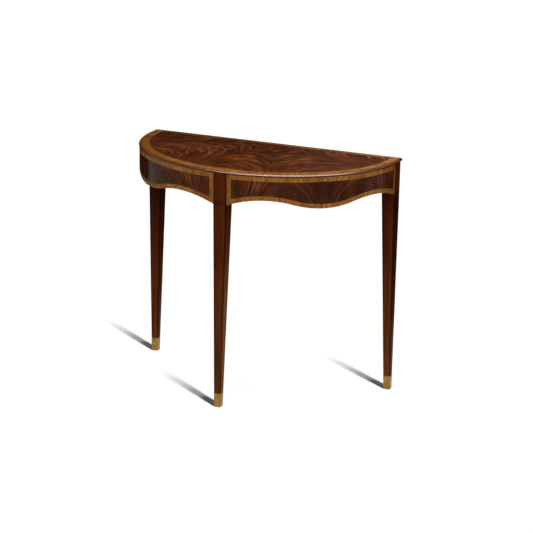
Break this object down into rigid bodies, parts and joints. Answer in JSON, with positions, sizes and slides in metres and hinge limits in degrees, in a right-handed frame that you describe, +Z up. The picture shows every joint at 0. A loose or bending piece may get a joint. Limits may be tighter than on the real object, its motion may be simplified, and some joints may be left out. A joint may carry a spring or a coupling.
{
  "type": "demilune table",
  "caption": "Half-round wall table with a bowed veneered top, serpentine crossbanded aprons and square tapered legs in brass toe caps, to stand against a wall.",
  "frame": {"origin": "on the floor, under the middle of the tabletop's bounding rectangle", "axes": "+X to the right along the straight back edge, +Y to the wall, +Z up; the bowed front faces -Y"},
  "size_m": [0.864, 0.4259, 0.762],
  "materials": {
    "secondary_wood": "bare, smooth",
    "mahogany": "stained mahogany, semi-gloss lacquer",
    "crotch_mahogany": "crotch mahogany veneer, gloss lacquer",
    "satinwood": "cross-cut satinwood veneer, gloss lacquer",
    "dark_crotch": "dark crotch mahogany veneer, gloss lacquer",
    "dark_line": "ebonised line",
    "brass": "satin brass, lightly aged",
    "screw_steel": "zinc plated"
  },
  "bodies": {
    "root": {"top_core": "secondary_wood", "back_rail": "secondary_wood", "centre_rail": "secondary_wood", "apron_core_left": "secondary_wood", "back_block_left": "secondary_wood", "front_block_left": "secondary_wood", "apron_core_right": "secondary_wood", "back_block_right": "secondary_wood", "front_block_right": "secondary_wood", "top_edge_moulding": "mahogany", "top_back_lipping": "mahogany", "front_leg": "mahogany", "back_leg_left": "mahogany", "back_leg_right": "mahogany", "top_fan_leaf_1": "crotch_mahogany", "top_fan_leaf_2": "crotch_mahogany", "top_fan_leaf_3": "crotch_mahogany", "top_fan_leaf_4": "crotch_mahogany", "top_fan_leaf_5": "crotch_mahogany", "top_crossband_front": "satinwood", "top_crossband_back": "satinwood", "apron_band_top_left": "satinwood", "apron_band_bottom_left": "satinwood", "apron_band_front_end_left": "satinwood", "apron_band_back_end_left": "satinwood", "apron_band_top_right": "satinwood", "apron_band_bottom_right": "satinwood", "apron_band_front_end_right": "satinwood", "apron_band_back_end_right": "satinwood", "apron_panel_front_left": "dark_crotch", "apron_panel_back_left": "dark_crotch", "apron_panel_front_right": "dark_crotch", "apron_panel_back_right": "dark_crotch", "front_leg_stringing": "dark_line", "toe_cap_front": "brass", "toe_cap_back_left": "brass", "toe_cap_back_right": "brass", "top_screws": "screw_steel"}
  },
  "joints": []
}
